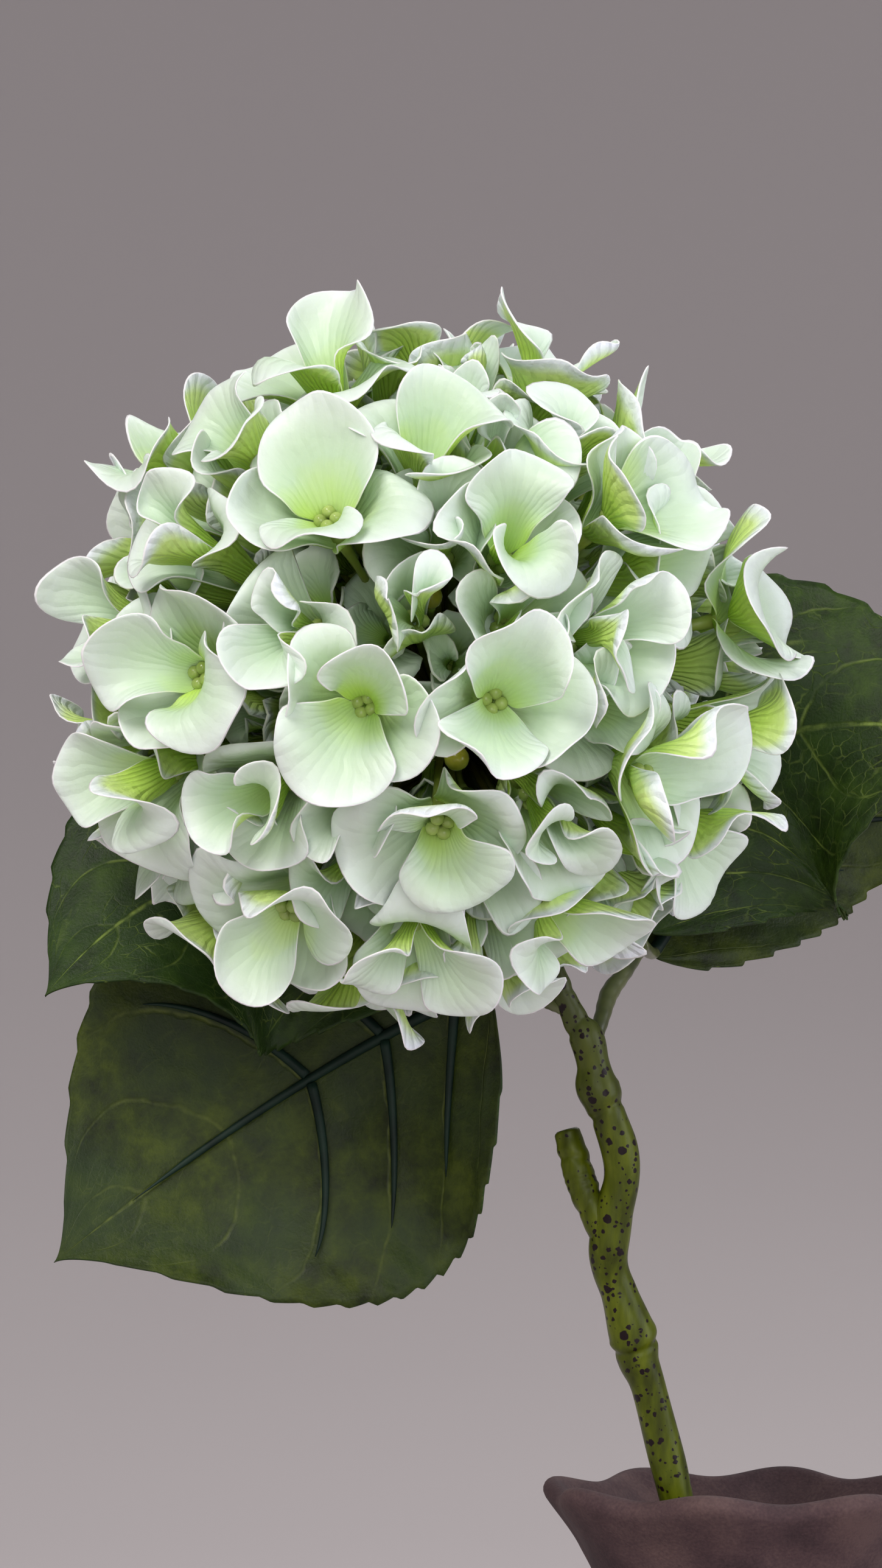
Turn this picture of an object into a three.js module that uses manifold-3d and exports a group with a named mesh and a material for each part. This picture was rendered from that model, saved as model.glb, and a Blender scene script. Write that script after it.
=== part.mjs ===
// A single hydrangea bloom with four leaves on a forked stem, standing in a ruffled stoneware vase.
// Millimetres, +Z up, the viewer looks along +Y; the origin is the centre of the vase's foot.
import * as THREE from 'three';
import Module from 'manifold-3d';

const wasm = await Module();
wasm.setup();

// Driving dimensions
const gap = 0.3;
const vaseHeight = 170;
const vaseWall = 5;
const rimRadius = 46;
const rimLobes = 8;
const rimLobeDepth = 1.9;
const rimLobeRise = 1.1;
const rimLobeTurn = 0.52;
const neckRadius = 35;
const neckHeight = 145;
const bodyRadius = 62;
const footRadius = 44;
const rimSegments = 48;
const headCentre = [-74, -45, 354];
const headRadius = 53;
const faceRadius = 68;
const levelStep = 5;
const coreRadius = 34;
const rootRadius = 22;
const latticePlaces = 72;
const floretSpacing = 24.5;
const floretClearance = 11;
const petalClearance = 4.5;
const budRadius = 2.6;
const budStand = 2;
const stalkRadius = 0.9;
const petalLength = 31;
const petalWidth = 30;
const petalThickness = 0.8;
const openReach = 26;
const levelShare = 2.5;
const roomFactor = 1.35;
const nesting = 3.2;
const throatRadius = 0.8;
const shortestReach = 8;
const widestAngle = 0.95;
const neighbourRange = 60;
const leafThickness = 0.8;
const leafTeeth = 12;
const toothPeak = 0.75;
const leafWaves = 2.5;
const ribRadius = 1.1;
const ribDrop = leafThickness / 2 + gap + ribRadius * 1.1;

const vec = (p) => new THREE.Vector3(...p);
const head = vec(headCentre);

// A repeatable draw between 0 and 1 for thing number i, use number k.
function draw(i, k) {
  const x = Math.sin(i * 12.9898 + k * 78.233) * 43758.5453;
  return x - Math.floor(x);
}

// ---- Solids from points and triangles ----

// Points at the same place are shared, so that neighbouring triangles close up.
function solid(points, triangles) {
  const places = new Map();
  const vertices = [];
  const shared = points.map((p) => {
    const key = p.toArray().map((c) => c.toFixed(4)).join();
    if (!places.has(key)) {
      places.set(key, places.size);
      vertices.push(p.x, p.y, p.z);
    }
    return places.get(key);
  });
  const vertProperties = new Float32Array(vertices);
  const triVerts = new Uint32Array(triangles.flat().map((i) => shared[i]));
  return new wasm.Manifold(new wasm.Mesh({ numProp: 3, vertProperties, triVerts }));
}

function join(solids) {
  return solids.reduce((all, next) => all.add(next));
}

// The largest body of a solid; loose scraps and sealed hollows are let go.
function mainBody(whole) {
  const bodies = whole.decompose();
  return bodies.reduce((best, body) => (body.volume() > best.volume() ? body : best));
}

function namedMesh(name, body, colour, roughness) {
  const { vertProperties, triVerts } = body.getMesh();
  const geometry = new THREE.BufferGeometry();
  geometry.setAttribute('position', new THREE.BufferAttribute(vertProperties, 3));
  geometry.setIndex(new THREE.BufferAttribute(triVerts, 1));
  const material = new THREE.MeshStandardMaterial({ color: colour, roughness, metalness: 0 });
  const mesh = new THREE.Mesh(geometry, material);
  mesh.name = name;
  return mesh;
}

// A thin sheet of points and faces, thickened alike to both sides and closed along its edge,
// except at one edge that may be left open for what it joins.
function thicken(points, faces, thickness, openEdge = '') {
  const normals = points.map(() => new THREE.Vector3());
  const directed = new Set();
  for (const face of faces) {
    const [a, b, c] = face.map((i) => points[i]);
    const normal = b.clone().sub(a).cross(c.clone().sub(a));
    face.forEach((i) => normals[i].add(normal));
    face.forEach((i, k) => directed.add(`${i},${face[(k + 1) % 3]}`));
  }
  normals.forEach((n) => n.normalize());
  const count = points.length;
  const shifted = (amount) => points.map((p, i) => p.clone().addScaledVector(normals[i], amount));
  const sheet = [...shifted(thickness / 2), ...shifted(-thickness / 2)];
  const triangles = [...faces];
  for (const [a, b, c] of faces) triangles.push([a + count, c + count, b + count]);
  for (const edge of directed) {
    const [a, b] = edge.split(',').map(Number);
    if (edge === openEdge || directed.has(`${b},${a}`)) continue;
    triangles.push([b, a, a + count]);
    triangles.push([b, a + count, b + count]);
  }
  return { points: sheet, triangles };
}

// A rod of changing radius through the stations [x, y, z, radius], smoothed between them.
function rod(stations, sides, steps, grow = 0) {
  const curve = new THREE.CatmullRomCurve3(stations.map(([x, y, z]) => vec([x, y, z])));
  const last = stations.length - 1;
  const points = [];
  const triangles = [];
  let across = new THREE.Vector3(0, 1, 0);
  for (let i = 0; i <= steps; i++) {
    const t = i / steps;
    const centre = curve.getPoint(t);
    const along = curve.getTangent(t);
    const k = Math.min(Math.floor(t * last), last - 1);
    const radius = THREE.MathUtils.lerp(stations[k][3], stations[k + 1][3], t * last - k) + grow;
    if (i === 0) centre.addScaledVector(along, -grow);
    if (i === steps) centre.addScaledVector(along, grow);
    across = across.clone().addScaledVector(along, -across.dot(along)).normalize();
    const other = along.clone().cross(across);
    for (let j = 0; j < sides; j++) {
      const angle = (j / sides) * 2 * Math.PI;
      const ring = across.clone().multiplyScalar(Math.cos(angle)).addScaledVector(other, Math.sin(angle));
      points.push(centre.clone().addScaledVector(ring, radius));
    }
  }
  for (let i = 0; i < steps; i++) {
    for (let j = 0; j < sides; j++) {
      const a = i * sides + j;
      const b = i * sides + ((j + 1) % sides);
      triangles.push([a, b, b + sides], [a, b + sides, a + sides]);
    }
  }
  const top = steps * sides;
  for (let j = 1; j < sides - 1; j++) {
    triangles.push([0, j + 1, j]);
    triangles.push([top, top + j, top + j + 1]);
  }
  return solid(points, triangles);
}

// ---- Vase: a hollow turned body whose flared rim is pressed into lobes ----

function vase() {
  const outside = new THREE.SplineCurve([
    new THREE.Vector2(footRadius, 0),
    new THREE.Vector2(footRadius + 8, 14),
    new THREE.Vector2(bodyRadius - 3, 42),
    new THREE.Vector2(bodyRadius, 72),
    new THREE.Vector2(bodyRadius - 6, 102),
    new THREE.Vector2(neckRadius + 8, 127),
    new THREE.Vector2(neckRadius, neckHeight),
    new THREE.Vector2(neckRadius + 3.8, neckHeight + 12),
    new THREE.Vector2(rimRadius, vaseHeight - 2.5),
  ]);
  const outer = outside.getPoints(10);
  const inner = outer
    .filter((p) => p.y > vaseWall + 3)
    .map((p, i, kept) => {
      const before = kept[Math.max(i - 1, 0)];
      const after = kept[Math.min(i + 1, kept.length - 1)];
      const run = after.clone().sub(before).normalize();
      return new THREE.Vector2(p.x - vaseWall * run.y, p.y + vaseWall * run.x * 0.6);
    })
    .reverse();
  const lip = new THREE.Vector2(rimRadius - 1.8, vaseHeight);
  const floor = new THREE.Vector2(inner.at(-1).x * 0.55, vaseWall + 1);
  const profile = [...outer, lip, ...inner, floor];

  const segments = rimSegments;
  const points = [new THREE.Vector3(0, 0, 0)];
  for (const p of profile) {
    const flare = THREE.MathUtils.smoothstep(p.y, neckHeight, vaseHeight);
    for (let j = 0; j < segments; j++) {
      const angle = (j / segments) * 2 * Math.PI;
      const lobe = Math.cos(rimLobes * (angle - rimLobeTurn)) * flare;
      const radius = p.x + rimLobeDepth * lobe;
      const height = p.y + rimLobeRise * lobe;
      points.push(new THREE.Vector3(radius * Math.cos(angle), radius * Math.sin(angle), height));
    }
  }
  points.push(new THREE.Vector3(0, 0, vaseWall));
  const triangles = [];
  for (let j = 0; j < segments; j++) {
    const next = (j + 1) % segments;
    triangles.push([0, 1 + next, 1 + j]);
    for (let i = 0; i < profile.length - 1; i++) {
      const row = 1 + i * segments;
      triangles.push([row + j, row + next, row + segments + next]);
      triangles.push([row + j, row + segments + next, row + segments + j]);
    }
    const top = 1 + (profile.length - 1) * segments;
    triangles.push([top + j, top + next, points.length - 1]);
  }
  return solid(points, triangles);
}

// ---- Stem: stations [x, y, z, radius] from the vase's floor to the socket in the head ----

const stemStations = [
  [17, 4, 6.6, 3.7],
  [2.5, -9.5, 77, 3.8],
  [-11.4, -22.2, 146, 3.8],
  [-17.4, -27, 168.5, 3.8],
  [-20.5, -28.6, 180, 4.1],
  [-24.3, -31, 195.5, 3.9],
  [-26.9, -32, 201.8, 4.7],
  [-28, -33, 207.6, 5.3],
  [-30.9, -34, 215.8, 4.2],
  [-32.8, -35, 221.5, 4.1],
  [-33.4, -36.4, 227.3, 4.5],
  [-32.4, -37.6, 233.7, 4.4],
  [-30.6, -38.8, 241.6, 4],
  [-31.3, -40, 249.3, 4.2],
  [-33.9, -41, 257.1, 4],
  [-36.1, -41.6, 262.3, 4.9],
  [-36.9, -42, 267.4, 3.7],
  [-38.7, -42.7, 273.6, 3.9],
  [-41.5, -43.3, 278.7, 2.7],
  [-46.9, -44.3, 290.6, 2.5],
  [-54, -45, 308, 2.5],
  [-64.5, -45, 334.5, 2.4],
];
// The cut stub of a side shoot at the fork.
const stubStations = [
  [-33.4, -37, 228, 3.6],
  [-38.4, -36.3, 238.5, 3.4],
  [-40.3, -35.8, 244.1, 3.5],
  [-42.7, -35, 252.9, 2.9],
];

function stem(grow) {
  return join([rod(stemStations, 9, 42, grow), rod(stubStations, 7, 4, grow)]);
}

// ---- Leaves: base, bend and tip of the midrib, the way the upper side faces, and the folds ----

const leaves = [
  {
    name: 'leaf_lower_left',
    base: [-60, -9, 286],
    bend: [-104.5, 24, 268],
    tip: [-160, -4, 222.5],
    face: [0.06, 0.97, -0.03],
    halfWidth: 55.5,
    fold: -0.06,
    wave: 2.2,
  },
  {
    name: 'leaf_upper_left',
    base: [-65, -17, 291],
    bend: [-121, 2, 336],
    tip: [-160.5, -26, 283],
    face: [-0.25, -0.92, 0.3],
    halfWidth: 43,
    fold: -0.04,
    wave: 2.6,
  },
  {
    name: 'leaf_upper_right',
    base: [-24.5, -12, 298.5],
    bend: [-12, 14, 363],
    tip: [54, -22, 341],
    face: [0.1, -0.97, 0.2],
    halfWidth: 45,
    fold: -0.08,
    wave: 2.4,
  },
  {
    name: 'leaf_lower_right',
    base: [-22, -1, 293.5],
    bend: [8, 28, 341],
    tip: [66, 40, 366],
    face: [0.0, 0.97, 0.24],
    halfWidth: 31,
    fold: -0.1,
    wave: 2.2,
  },
];

// Oval with a round base and a drawn-out tip: half width against the way s along the midrib.
function leafShape(s) {
  return Math.sin(Math.PI * s ** 0.9) ** 0.55 * (1 - s ** 7);
}

// A tooth rises along most of its length and drops back in the rest, so it points forwards.
function tooth(s) {
  const x = (s * leafTeeth) % 1;
  return x < toothPeak ? x / toothPeak : (1 - x) / (1 - toothPeak);
}

// The blade's point at s along the midrib (0 to 1) and u across (-1 to 1), lowered by drop.
function leafPoint(leaf, s, u, drop = 0) {
  const [base, bend, tip] = [vec(leaf.base), vec(leaf.bend), vec(leaf.tip)];
  const curve = new THREE.QuadraticBezierCurve3(base, bend, tip);
  const along = curve.getTangent(s);
  const side = vec(leaf.face).cross(along).normalize();
  const up = along.clone().cross(side);
  const width = leaf.halfWidth * leafShape(s) * (1 + 0.07 * (tooth(s) - 0.5) * u * u);
  const lift = Math.abs(u) * width * Math.sin(leaf.fold) - 0.05 * u * u * width;
  const ripple = leaf.wave * Math.sin(2 * Math.PI * leafWaves * s + (u > 0 ? 0.6 : 2.4)) * u * u;
  return curve
    .getPoint(s)
    .addScaledVector(side, u * width * Math.cos(leaf.fold))
    .addScaledVector(up, lift + ripple * leafShape(s) - drop);
}

function leafBlade(leaf, thickness) {
  const along = [0.004];
  for (let k = 0; k < leafTeeth; k++) {
    if (k > 0) along.push(k / leafTeeth);
    along.push((k + toothPeak) / leafTeeth);
  }
  along.push(0.998);
  const across = [-1, -0.5, 0, 0.5, 1];
  const points = along.flatMap((s) => across.map((u) => leafPoint(leaf, s, u)));
  const faces = [];
  for (let i = 0; i < along.length - 1; i++) {
    for (let j = 0; j < across.length - 1; j++) {
      const a = i * across.length + j;
      const b = a + across.length;
      faces.push([a, b + 1, a + 1], [a, b, b + 1]);
    }
  }
  const sheet = thicken(points, faces, thickness);
  return solid(sheet.points, sheet.triangles);
}

// A leaf's raised ribs, which lie along its under side: the midrib and three pairs of side ribs
// that slant forwards from it.
function leafRibs(leaf) {
  const ribs = [];
  const station = (s, u, radius) => [...leafPoint(leaf, s, u, ribDrop).toArray(), radius];
  const mid = [0, 0.12, 0.25, 0.4, 0.55, 0.7, 0.84];
  ribs.push(rod(mid.map((s) => station(s, 0, ribRadius * (1.15 - 0.6 * s))), 4, 8));
  for (const start of [0.08, 0.26, 0.44]) {
    for (const hand of [-1, 1]) {
      const side = [0, 0.33, 0.66, 1].map((q) => {
        const s = start + 0.19 * q;
        return station(s, hand * (0.02 + 0.7 * q), ribRadius * (0.85 - 0.3 * q));
      });
      ribs.push(rod(side, 3, 3));
    }
  }
  return ribs;
}

// ---- Twigs: a short side twig, the two leaf stalks on it and the ribs under their blades ----

function twig(stations, pair, stemSolid, bladeSpaces) {
  const end = stations.at(-1);
  const parts = [rod(stations, 7, 10)];
  for (const leaf of pair) {
    const start = leafPoint(leaf, 0, 0, ribDrop).toArray();
    const middle = leafPoint(leaf, 0.06, 0, ribDrop).toArray();
    parts.push(rod([[...end.slice(0, 3), 1.6], [...start, 1.4], [...middle, 1.3]], 6, 5));
    parts.push(...leafRibs(leaf));
  }
  let body = join(parts).subtract(stemSolid);
  for (const space of bladeSpaces) body = body.subtract(space);
  return mainBody(body);
}

const leftTwigStations = [
  [-42, -43.5, 279.6, 2],
  [-46.4, -42, 281.2, 1.7],
  [-51, -37, 283.4, 1.7],
  [-58, -20, 286, 1.7],
];
const rightTwigStations = [
  [-37.5, -42.3, 271, 2],
  [-35, -38, 277.5, 1.8],
  [-32.8, -32, 283.8, 2.1],
  [-28.7, -26, 289.2, 1.7],
  [-25, -18, 295, 1.7],
];

// ---- Bloom ----

// Florets on the viewer's side: where their faces lie, across and up from the head's centre, and
// the level (1 high and open, 0 between, -1 a deep cup).
const frontFlorets = [
  [1, 70, 0], [25, 61, 1], [49, 54, 0], [-21, 58, 1], [-1, 40, 0], [-36, 42, 0], [-52, 44, 1],
  [-67, 31, 0], [-20, 26, 1], [18, 22, 0], [39, 29, 1], [-47, 22, 0], [-62, 8, 0], [-27, 4, 0],
  [-47, -5, 1], [-13, -13, 1], [14, -12, 1], [37, 3, 0], [67, 12, 1], [69, -15, 0], [-71, -16, 0],
  [-56, -24, 1], [-34, -30, 0], [3, -37, 1], [26, -35, 0], [43, -25, 1], [59, -36, 0],
  [-29, -53, 1], [-2, -57, 1], [26, -54, 0], [-64, -40, 0], [-15, -72, 0], [-44, -60, 1],
  [14, -66, -1], [31, 46, -1], [-3, 7, -1],
];

// The unit direction from the head's centre to a place on the viewer's side, across and up.
function towardsFace(x, z) {
  const y = -Math.sqrt(Math.max(faceRadius ** 2 - x * x - z * z, 100));
  return new THREE.Vector3(x, y, z).normalize();
}

// Where every floret sits: the front ones, then a spiral lattice over the rest of the head that
// skips places already taken and the room that the leaves and twigs need.
function placeFlorets(obstacles) {
  const florets = [];
  const add = (direction, level) => {
    const radius = headRadius + levelStep * level;
    florets.push({ axis: direction, centre: head.clone().addScaledVector(direction, radius), level });
  };
  for (const [x, z, level] of frontFlorets) add(towardsFace(x, z), level);
  const golden = Math.PI * (3 - Math.sqrt(5));
  for (let i = 0; i < latticePlaces; i++) {
    const z = 1 - (2 * i + 1) / latticePlaces;
    const ring = Math.sqrt(1 - z * z);
    const direction = new THREE.Vector3(ring * Math.cos(golden * i), ring * Math.sin(golden * i), z);
    const spot = head.clone().addScaledVector(direction, headRadius);
    const near = florets.some((f) => f.axis.distanceTo(direction) * headRadius < floretSpacing);
    const blocked = obstacles.some((p) => p.distanceTo(spot) < floretClearance);
    if (!near && !blocked) add(direction, (i % 3) - 1);
  }
  return florets;
}

// A petal's outline: narrow at the claw, broadest past the middle and round at the end.
function petalShape(v) {
  return Math.sqrt(Math.max(1 - Math.abs(2 * v ** 1.45 - 1) ** 2.3, 0));
}

// Each petal reaches out as far as its neighbours leave room, and what is left of its length
// stands up, so that low florets are cups and high ones lie open. Petals 0 and 2 are the inner
// pair, 1 and 3 the outer.
function petalsOf(florets) {
  const petals = [];
  florets.forEach((floret, i) => {
    const { axis, centre, level } = floret;
    const start = new THREE.Vector3(0, 0, 1).cross(axis).normalize();
    const outs = [0, 1, 2, 3].map((k) => start.clone().applyAxisAngle(axis, Math.PI * (draw(i, 1) + k / 2)));
    const reaches = outs.map((out) => {
      let reach = openReach + level;
      for (const other of florets) {
        const away = other.centre.clone().sub(centre);
        if (other === floret || away.length() > neighbourRange) continue;
        away.addScaledVector(axis, -away.dot(axis));
        const facing = away.dot(out) / away.length();
        if (facing < 0.3) continue;
        const share = away.length() / 2 + levelShare * (level - other.level);
        reach = Math.min(reach, (roomFactor * share) / facing);
      }
      return Math.max(reach, shortestReach);
    });
    const length = petalLength * (0.95 + 0.1 * draw(i, 2));
    outs.forEach((out, k) => {
      const [before, reach, after] = [reaches[(k + 3) % 4], reaches[k], reaches[(k + 1) % 4]];
      const size = 0.92 + 0.1 * draw(i, 10 + k);
      const across = axis.clone().cross(out);
      petals.push({ centre, axis, out, across, before, reach, after, length, size, inner: k % 2 === 0 });
    });
  });
  return petals;
}

// The petal's point at u across (-1 to 1) and v from claw to end (0 to 1). Its height follows the
// distance d from the floret's axis, as on a trumpet that rises steeply and flattens outwards.
// The trumpet's reach changes smoothly from each petal to the next, and the inner pair's trumpet
// lies inside and above the outer pair's.
function petalPoint(petal, u, v) {
  const { centre, axis, out, across, before, reach, after, length, size, inner } = petal;
  const nested = inner ? nesting / 2 : -nesting / 2;
  const back = 5 * (reach / openReach) ** 2;
  const arc = throatRadius + reach * size * v ** 1.3 + back;
  const angle = u * Math.min(((petalWidth / 2) * petalShape(v)) / arc, widestAngle);
  const x = arc * Math.cos(angle) - back;
  const y = arc * Math.sin(angle);
  const d = Math.hypot(x, y);
  const next = y > 0 ? after : before;
  const local = reach + (next - reach) * (y / d) ** 2;
  const rise = Math.sqrt(Math.max(length ** 2 - local ** 2, 60));
  const bend = Math.min(0.3 + (0.75 * local) / petalLength, 1);
  const throat = inner ? throatRadius : throatRadius + 0.7 * nesting;
  const w = (Math.max(d - throat, 0) / local) ** 0.77;
  const z = rise * (w * (1 + bend) - bend * w * w) + nested;
  return centre
    .clone()
    .addScaledVector(axis, z)
    .addScaledVector(out, x)
    .addScaledVector(across, y);
}

// A petal's sheet: points 0 and 1 are its claw, which its stalk places, then a row across its
// middle and its rounded end.
const petalSpots = [[-1, 0.5], [0, 0.5], [1, 0.5], [-1, 0.88], [0, 1], [1, 0.88]];
const petalFaces = [
  [0, 3, 1], [0, 2, 3], [1, 3, 4], [2, 5, 3], [3, 5, 6], [3, 6, 7], [3, 7, 4],
];

// Two opposite petals on a square stalk from root: the claws grow out of two of its sides.
function petalPair(root, base, width, pair, kept) {
  const [{ centre, axis, out, across }] = pair;
  const points = [];
  const triangles = [];
  const top = base + petalThickness;
  const up = (height) => centre.clone().addScaledVector(axis, height);
  for (const [middle, half] of [[root, stalkRadius], [up(base), width], [up(top), width]]) {
    for (const [x, y] of [[half, half], [-half, half], [-half, -half], [half, -half]]) {
      points.push(middle.clone().addScaledVector(out, x).addScaledVector(across, y));
    }
  }
  points.push(up(top + width * 0.8), root);
  for (let j = 0; j < 4; j++) {
    const next = (j + 1) % 4;
    triangles.push([j, next, 4 + next], [j, 4 + next, 4 + j]);
    triangles.push([8 + j, 8 + next, 12], [next, j, 13]);
    const petal = pair[[3, 1].indexOf(j)];
    if (!petal || !kept.includes(petal)) {
      triangles.push([4 + j, 4 + next, 8 + next], [4 + j, 8 + next, 8 + j]);
      continue;
    }
    const claw = [8 + j, 8 + next, 4 + j, 4 + next].map((i) => points[i]);
    const middles = [0, 1].map((i) => claw[i].clone().lerp(claw[i + 2], 0.5));
    const places = [...middles, ...petalSpots.map(([u, v]) => petalPoint(petal, u, v))];
    const sheet = thicken(places, petalFaces, petalThickness, '1,0');
    const count = places.length;
    [sheet.points[0], sheet.points[1], sheet.points[count], sheet.points[count + 1]] = claw;
    const start = points.length;
    points.push(...sheet.points);
    sheet.triangles.forEach((face) => triangles.push(face.map((i) => i + start)));
  }
  return solid(points, triangles);
}

// A ball of twenty sides.
function ball(centre, radius) {
  const place = new THREE.IcosahedronGeometry(radius).getAttribute('position');
  const points = [];
  for (let i = 0; i < place.count; i++) {
    points.push(new THREE.Vector3().fromBufferAttribute(place, i).add(centre));
  }
  const triangles = [];
  for (let i = 0; i < place.count; i += 3) triangles.push([i, i + 1, i + 2]);
  return solid(points, triangles);
}

// Round unopened buds in the gaps between florets, across and up from the head's centre.
const buds = [[59, -9], [53, -11], [53, 1], [-14, 33], [-63, 17], [1, 14], [8, -28], [-36, -20]];

// The florets of two petal pairs each and the buds, all on stalks from a core.
function bloom(spaces, obstacles) {
  const florets = placeFlorets(obstacles);
  const parts = [ball(head, coreRadius)];
  const petals = petalsOf(florets);
  const clear = (petal) => {
    const edge = petalSpots.map(([u, v]) => petalPoint(petal, u, v));
    return !obstacles.some((p) => edge.some((tip) => p.distanceTo(tip) < petalClearance));
  };
  florets.forEach(({ axis, centre }, i) => {
    const own = petals.slice(4 * i, 4 * i + 4);
    const kept = own.filter(clear);
    const root = head.clone().addScaledVector(axis, rootRadius);
    const low = centre.clone().addScaledVector(axis, -nesting / 2 - 1.4);
    const half = (nesting + petalThickness) / 2;
    parts.push(petalPair(root, -half, 1.9, [own[1], own[3]], kept));
    parts.push(petalPair(low, half - petalThickness, 1.5, [own[0], own[2]], kept));
  });
  for (const [x, z] of buds) {
    const direction = towardsFace(x, z);
    const place = head.clone().addScaledVector(direction, headRadius + budStand);
    const root = head.clone().addScaledVector(direction, rootRadius);
    const along = [root, root.clone().lerp(place, 0.5), place];
    parts.push(rod(along.map((p) => [...p.toArray(), stalkRadius]), 3, 1));
    parts.push(ball(place, budRadius));
  }
  let body = join(parts);
  for (const space of spaces) body = body.subtract(space);
  return mainBody(body);
}

// ---- Assembly ----

const stemSpace = stem(gap);
const bladeSpaces = leaves.map((leaf) => leafBlade(leaf, leafThickness + 2 * gap));
const leftTwig = twig(leftTwigStations, leaves.slice(0, 2), stemSpace, bladeSpaces);
const rightTwig = twig(rightTwigStations, leaves.slice(2), stemSpace, bladeSpaces);

// Points over the leaves and twigs, which the florets keep clear of.
const obstacles = [];
for (const leaf of leaves) {
  for (let s = 0.02; s < 1; s += 0.04) {
    for (let u = -1; u <= 1; u += 0.125) obstacles.push(leafPoint(leaf, s, u));
  }
}
for (const stations of [leftTwigStations, rightTwigStations]) {
  stations.forEach((p) => obstacles.push(vec(p.slice(0, 3))));
}

const group = new THREE.Group();
group.add(namedMesh('vase', vase(), 0x6c5759, 0.9));
group.add(namedMesh('stem', stem(0), 0x5c5f33, 0.45));
group.add(namedMesh('left_twig', leftTwig, 0x4d5238, 0.45));
group.add(namedMesh('right_twig', rightTwig, 0x4d5238, 0.45));
leaves.forEach((leaf) => {
  group.add(namedMesh(leaf.name, leafBlade(leaf, leafThickness), 0x2f3d20, 0.55));
});
group.add(namedMesh('bloom', bloom([stemSpace, ...bladeSpaces], obstacles), 0xdfe8dc, 0.65));

export default group;
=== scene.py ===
from math import pi, radians

import bpy
import numpy as np
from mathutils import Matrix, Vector


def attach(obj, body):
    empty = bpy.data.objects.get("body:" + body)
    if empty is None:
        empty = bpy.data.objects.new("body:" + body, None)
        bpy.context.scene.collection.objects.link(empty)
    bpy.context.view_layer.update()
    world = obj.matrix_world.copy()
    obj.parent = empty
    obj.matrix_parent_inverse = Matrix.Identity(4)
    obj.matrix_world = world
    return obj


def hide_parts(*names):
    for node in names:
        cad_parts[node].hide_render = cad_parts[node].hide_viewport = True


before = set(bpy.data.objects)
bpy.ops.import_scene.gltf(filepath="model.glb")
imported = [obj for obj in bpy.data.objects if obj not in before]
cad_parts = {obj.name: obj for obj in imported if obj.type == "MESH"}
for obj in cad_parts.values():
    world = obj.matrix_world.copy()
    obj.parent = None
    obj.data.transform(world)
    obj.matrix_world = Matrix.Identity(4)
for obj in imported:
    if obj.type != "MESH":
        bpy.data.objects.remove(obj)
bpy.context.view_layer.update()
print("frame loaded")

mm = 0.001  # sizes below are in millimetres, and turn to metres where a mesh is made


def unit(vectors):
    # each vector over its own length
    return vectors / np.maximum(np.linalg.norm(vectors, axis=-1, keepdims=True), 1e-9)


def smoothStep(x, low, high):
    # 0 below low, 1 above high, and 3t^2 - 2t^3 between
    t = np.clip((x - low) / (high - low), 0, 1)
    return t * t * (3 - 2 * t)


def drawn(i, k):
    # a repeatable draw from 0 to 1 for thing i, use k: the fraction of 43758.5453 sin(12.9898 i + 78.233 k)
    x = np.sin(i * 12.9898 + k * 78.233) * 43758.5453
    return x - np.floor(x)


def smoothPath(stations, count):
    # the Catmull-Rom curve through the stations, in every one of their columns, at count even steps
    p = np.array(stations, float)
    p = np.vstack([2 * p[0] - p[1], p, 2 * p[-1] - p[-2]])
    t = np.linspace(0, len(stations) - 1, count)
    k = np.minimum(t.astype(int), len(stations) - 2)
    f = (t - k)[:, None]
    a, b, c, d = p[k], p[k + 1], p[k + 2], p[k + 3]
    return b + 0.5 * f * (c - a + f * (2 * a - 5 * b + 4 * c - d + f * (3 * (b - c) + d - a)))


def gridFaces(count, rows, columns, wrap=False):
    # the quads of count grids, one after the other; wrap joins each last column to the first
    index = np.arange(count * rows * columns).reshape(count, rows, columns)
    if wrap:
        index = np.concatenate([index, index[:, :, :1]], axis=2)
    corners = [index[:, :-1, :-1], index[:, :-1, 1:], index[:, 1:, 1:], index[:, 1:, :-1]]
    return np.stack(corners, axis=-1).reshape(-1, 4)


def tubes(paths, radii, sides):
    # rings square to each path, at path + radius (across cos a + other sin a), with a fan over each end;
    # radii holds a number for each ring, or for each point of it
    count, rows = paths.shape[:2]
    tangents = unit(np.gradient(paths, axis=1))
    leastLean = np.abs(paths[:, -1] - paths[:, 0]).argmin(axis=1)
    across = unit(np.cross(tangents, np.eye(3)[leastLean][:, None]))
    other = np.cross(tangents, across)
    angle = np.arange(sides)[:, None] * 2 * pi / sides
    ring = across[:, :, None] * np.cos(angle) + other[:, :, None] * np.sin(angle)
    radii = radii[..., None, None] if radii.ndim == 2 else radii[..., None]
    points = paths[:, :, None] + radii * ring
    ends = np.concatenate([paths[:, 0], paths[:, -1]])
    faces = gridFaces(count, rows, sides, wrap=True)
    first = np.arange(count)[:, None] * rows * sides + np.arange(sides)
    turned = np.roll(first, -1, axis=1)
    last = (rows - 1) * sides
    tips = count * rows * sides + np.arange(count)[:, None] + 0 * first
    startFans = np.stack([tips, turned, first], axis=-1).reshape(-1, 3)
    endFans = np.stack([tips + count, first + last, turned + last], axis=-1).reshape(-1, 3)
    return np.concatenate([points.reshape(-1, 3), ends]), [faces, startFans, endFans]


def gather(parts):
    # the points and faces of several parts as one
    starts = np.cumsum([0] + [len(points) for points, faces in parts[:-1]])
    points = np.concatenate([points for points, faces in parts])
    return points, [f + start for (_, faces), start in zip(parts, starts) for f in faces]


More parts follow.
